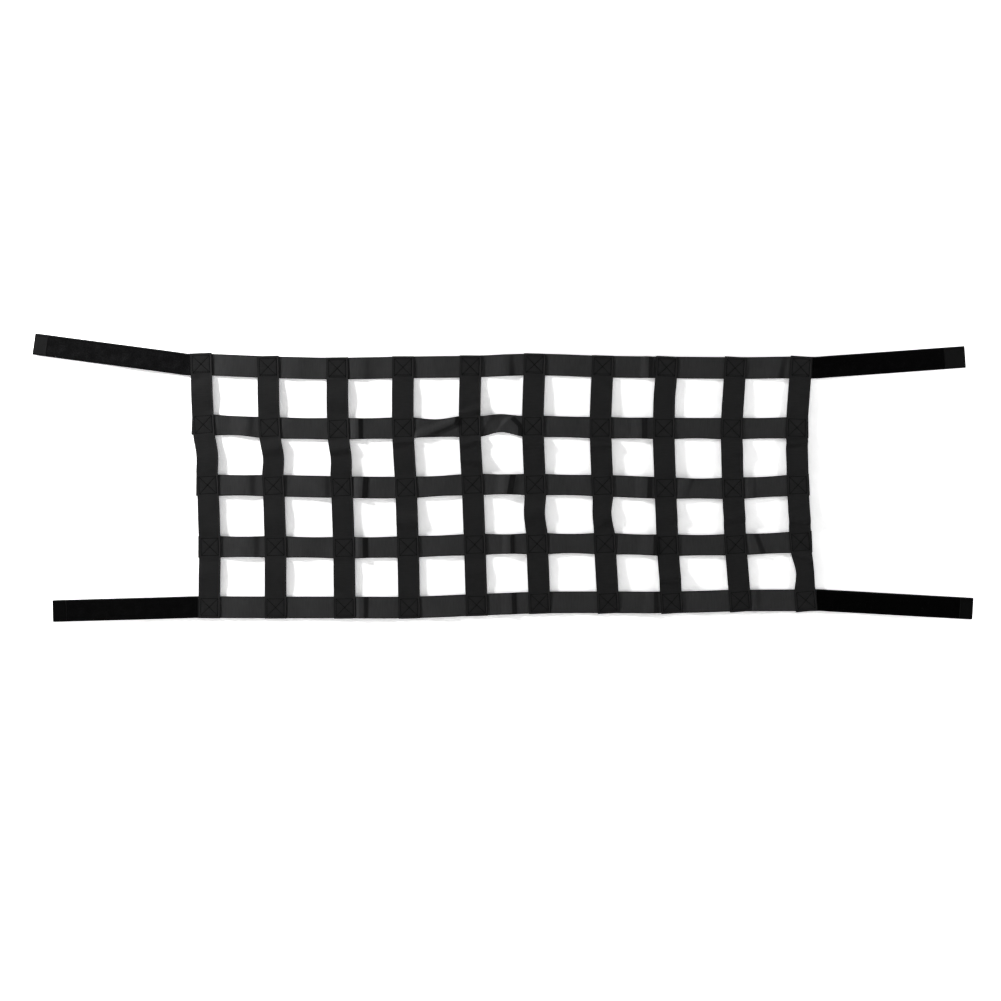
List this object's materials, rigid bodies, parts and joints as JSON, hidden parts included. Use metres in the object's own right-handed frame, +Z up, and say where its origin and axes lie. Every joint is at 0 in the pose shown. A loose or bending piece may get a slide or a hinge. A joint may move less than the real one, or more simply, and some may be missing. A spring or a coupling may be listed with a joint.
{
  "type": "webbing cargo net",
  "caption": "Flat webbing net of crossed straps with a box-and-cross stitch at every crossing and hook-and-loop tails at its corners; folds for storage and wraps round bars.",
  "frame": {"origin": "centre of the net in the back plane of its horizontal straps, midway between the bars that it is strapped to", "axes": "+X along the net to the right seen from the front, +Y out of its back, +Z up"},
  "size_m": [1.6465, 0.0039, 0.5053],
  "materials": {
    "vertical_webbing": "matt woven polyester webbing",
    "horizontal_webbing": "matt woven polyester webbing",
    "loop_tape": "napped loop pile",
    "hook_patch": "moulded hook tape",
    "thread": "bonded polyester thread"
  },
  "bodies": {
    "left_panel": {"vertical_strap_1": "vertical_webbing", "vertical_strap_2": "vertical_webbing", "vertical_strap_3": "vertical_webbing", "horizontal_strap_1_left": "horizontal_webbing", "horizontal_strap_2_left": "horizontal_webbing", "horizontal_strap_3_left": "horizontal_webbing", "horizontal_strap_4_left": "horizontal_webbing", "horizontal_strap_5_left": "horizontal_webbing", "box_stitches_left": "thread"},
    "mid_left_panel": {"vertical_strap_4": "vertical_webbing", "vertical_strap_5": "vertical_webbing", "horizontal_strap_1_mid_left": "horizontal_webbing", "horizontal_strap_2_mid_left": "horizontal_webbing", "horizontal_strap_3_mid_left": "horizontal_webbing", "horizontal_strap_4_mid_left": "horizontal_webbing", "horizontal_strap_5_mid_left": "horizontal_webbing", "box_stitches_mid_left": "thread"},
    "mid_right_panel": {"vertical_strap_6": "vertical_webbing", "vertical_strap_7": "vertical_webbing", "horizontal_strap_1_mid_right": "horizontal_webbing", "horizontal_strap_2_mid_right": "horizontal_webbing", "horizontal_strap_3_mid_right": "horizontal_webbing", "horizontal_strap_4_mid_right": "horizontal_webbing", "horizontal_strap_5_mid_right": "horizontal_webbing", "box_stitches_mid_right": "thread"},
    "right_panel": {"vertical_strap_8": "vertical_webbing", "vertical_strap_9": "vertical_webbing", "vertical_strap_10": "vertical_webbing", "horizontal_strap_1_right": "horizontal_webbing", "horizontal_strap_2_right": "horizontal_webbing", "horizontal_strap_3_right": "horizontal_webbing", "horizontal_strap_4_right": "horizontal_webbing", "horizontal_strap_5_right": "horizontal_webbing", "box_stitches_right": "thread"},
    "upper_left_tail_1": {"upper_left_tail_webbing_1": "horizontal_webbing", "upper_left_loop_tape_1": "loop_tape"},
    "upper_left_tail_2": {"upper_left_tail_webbing_2": "horizontal_webbing", "upper_left_loop_tape_2": "loop_tape"},
    "upper_left_tail_3": {"upper_left_tail_webbing_3": "horizontal_webbing", "upper_left_tip_tapes": "hook_patch"},
    "upper_right_tail_1": {"upper_right_tail_webbing_1": "horizontal_webbing", "upper_right_loop_tape_1": "loop_tape"},
    "upper_right_tail_2": {"upper_right_tail_webbing_2": "horizontal_webbing", "upper_right_loop_tape_2": "loop_tape"},
    "upper_right_tail_3": {"upper_right_tail_webbing_3": "horizontal_webbing", "upper_right_tip_tapes": "hook_patch"},
    "lower_left_tail_1": {"lower_left_tail_webbing_1": "horizontal_webbing", "lower_left_loop_tape_1": "loop_tape"},
    "lower_left_tail_2": {"lower_left_tail_webbing_2": "horizontal_webbing", "lower_left_loop_tape_2": "loop_tape"},
    "lower_left_tail_3": {"lower_left_tail_webbing_3": "horizontal_webbing", "lower_left_tip_tapes": "hook_patch"},
    "lower_right_tail_1": {"lower_right_tail_webbing_1": "horizontal_webbing", "lower_right_loop_tape_1": "loop_tape"},
    "lower_right_tail_2": {"lower_right_tail_webbing_2": "horizontal_webbing", "lower_right_loop_tape_2": "loop_tape"},
    "lower_right_tail_3": {"lower_right_tail_webbing_3": "horizontal_webbing", "lower_right_tip_tapes": "hook_patch"}
  },
  "joints": [
    {"name": "fold_left", "type": "hinge", "parent": "mid_left_panel", "child": "left_panel", "pos_m": [-0.248, -0.0006, 0], "axis": [0, 0, 1], "range_deg": [-150, 150]},
    {"name": "fold_middle", "type": "hinge", "parent": "mid_left_panel", "child": "mid_right_panel", "pos_m": [0.008, -0.0006, 0], "axis": [0, 0, 1], "range_deg": [-150, 150]},
    {"name": "fold_right", "type": "hinge", "parent": "mid_right_panel", "child": "right_panel", "pos_m": [0.248, -0.0006, 0], "axis": [0, 0, -1], "range_deg": [-150, 150]},
    {"name": "upper_left_swing", "type": "hinge", "parent": "left_panel", "child": "upper_left_tail_1", "pos_m": [-0.5545, -0.0006, 0.2125], "axis": [-0.1323, 0, -0.9912], "range_deg": [-90, 90]},
    {"name": "upper_left_wrap", "type": "hinge", "parent": "upper_left_tail_1", "child": "upper_left_tail_2", "pos_m": [-0.64437, -0.0006, 0.22449], "axis": [0.1323, 0, 0.9912], "range_deg": [0, 116]},
    {"name": "upper_left_wrap_tip", "type": "hinge", "parent": "upper_left_tail_2", "child": "upper_left_tail_3", "pos_m": [-0.73424, -0.0006, 0.23648], "axis": [0.1323, 0, 0.9912], "range_deg": [0, 116]},
    {"name": "upper_right_swing", "type": "hinge", "parent": "right_panel", "child": "upper_right_tail_1", "pos_m": [0.54159, -0.0006, 0.207], "axis": [-0.0715, 0, 0.9974], "range_deg": [-90, 90]},
    {"name": "upper_right_wrap", "type": "hinge", "parent": "upper_right_tail_1", "child": "upper_right_tail_2", "pos_m": [0.62937, -0.0006, 0.21329], "axis": [0.0715, 0, -0.9974], "range_deg": [0, 116]},
    {"name": "upper_right_wrap_tip", "type": "hinge", "parent": "upper_right_tail_2", "child": "upper_right_tail_3", "pos_m": [0.71714, -0.0006, 0.21958], "axis": [0.0715, 0, -0.9974], "range_deg": [0, 116]},
    {"name": "lower_left_swing", "type": "hinge", "parent": "left_panel", "child": "lower_left_tail_1", "pos_m": [-0.5415, -0.0006, -0.212], "axis": [0.0279, 0, -0.9996], "range_deg": [-90, 90]},
    {"name": "lower_left_wrap", "type": "hinge", "parent": "lower_left_tail_1", "child": "lower_left_tail_2", "pos_m": [-0.6248, -0.0006, -0.21433], "axis": [-0.0279, 0, 0.9996], "range_deg": [0, 116]},
    {"name": "lower_left_wrap_tip", "type": "hinge", "parent": "lower_left_tail_2", "child": "lower_left_tail_3", "pos_m": [-0.7081, -0.0006, -0.21665], "axis": [-0.0279, 0, 0.9996], "range_deg": [0, 116]},
    {"name": "lower_right_swing", "type": "hinge", "parent": "right_panel", "child": "lower_right_tail_1", "pos_m": [0.54927, -0.0006, -0.19965], "axis": [0.0558, 0, 0.9984], "range_deg": [-90, 90]},
    {"name": "lower_right_wrap", "type": "hinge", "parent": "lower_right_tail_1", "child": "lower_right_tail_2", "pos_m": [0.63913, -0.0006, -0.20468], "axis": [-0.0558, 0, -0.9984], "range_deg": [0, 116]},
    {"name": "lower_right_wrap_tip", "type": "hinge", "parent": "lower_right_tail_2", "child": "lower_right_tail_3", "pos_m": [0.72899, -0.0006, -0.2097], "axis": [-0.0558, 0, -0.9984], "range_deg": [0, 116]}
  ],
  "couplings": [
    {"joint": "upper_left_wrap_tip", "follows": "upper_left_wrap", "ratio": 1},
    {"joint": "upper_right_wrap_tip", "follows": "upper_right_wrap", "ratio": 1},
    {"joint": "lower_left_wrap_tip", "follows": "lower_left_wrap", "ratio": 1},
    {"joint": "lower_right_wrap_tip", "follows": "lower_right_wrap", "ratio": 1}
  ]
}
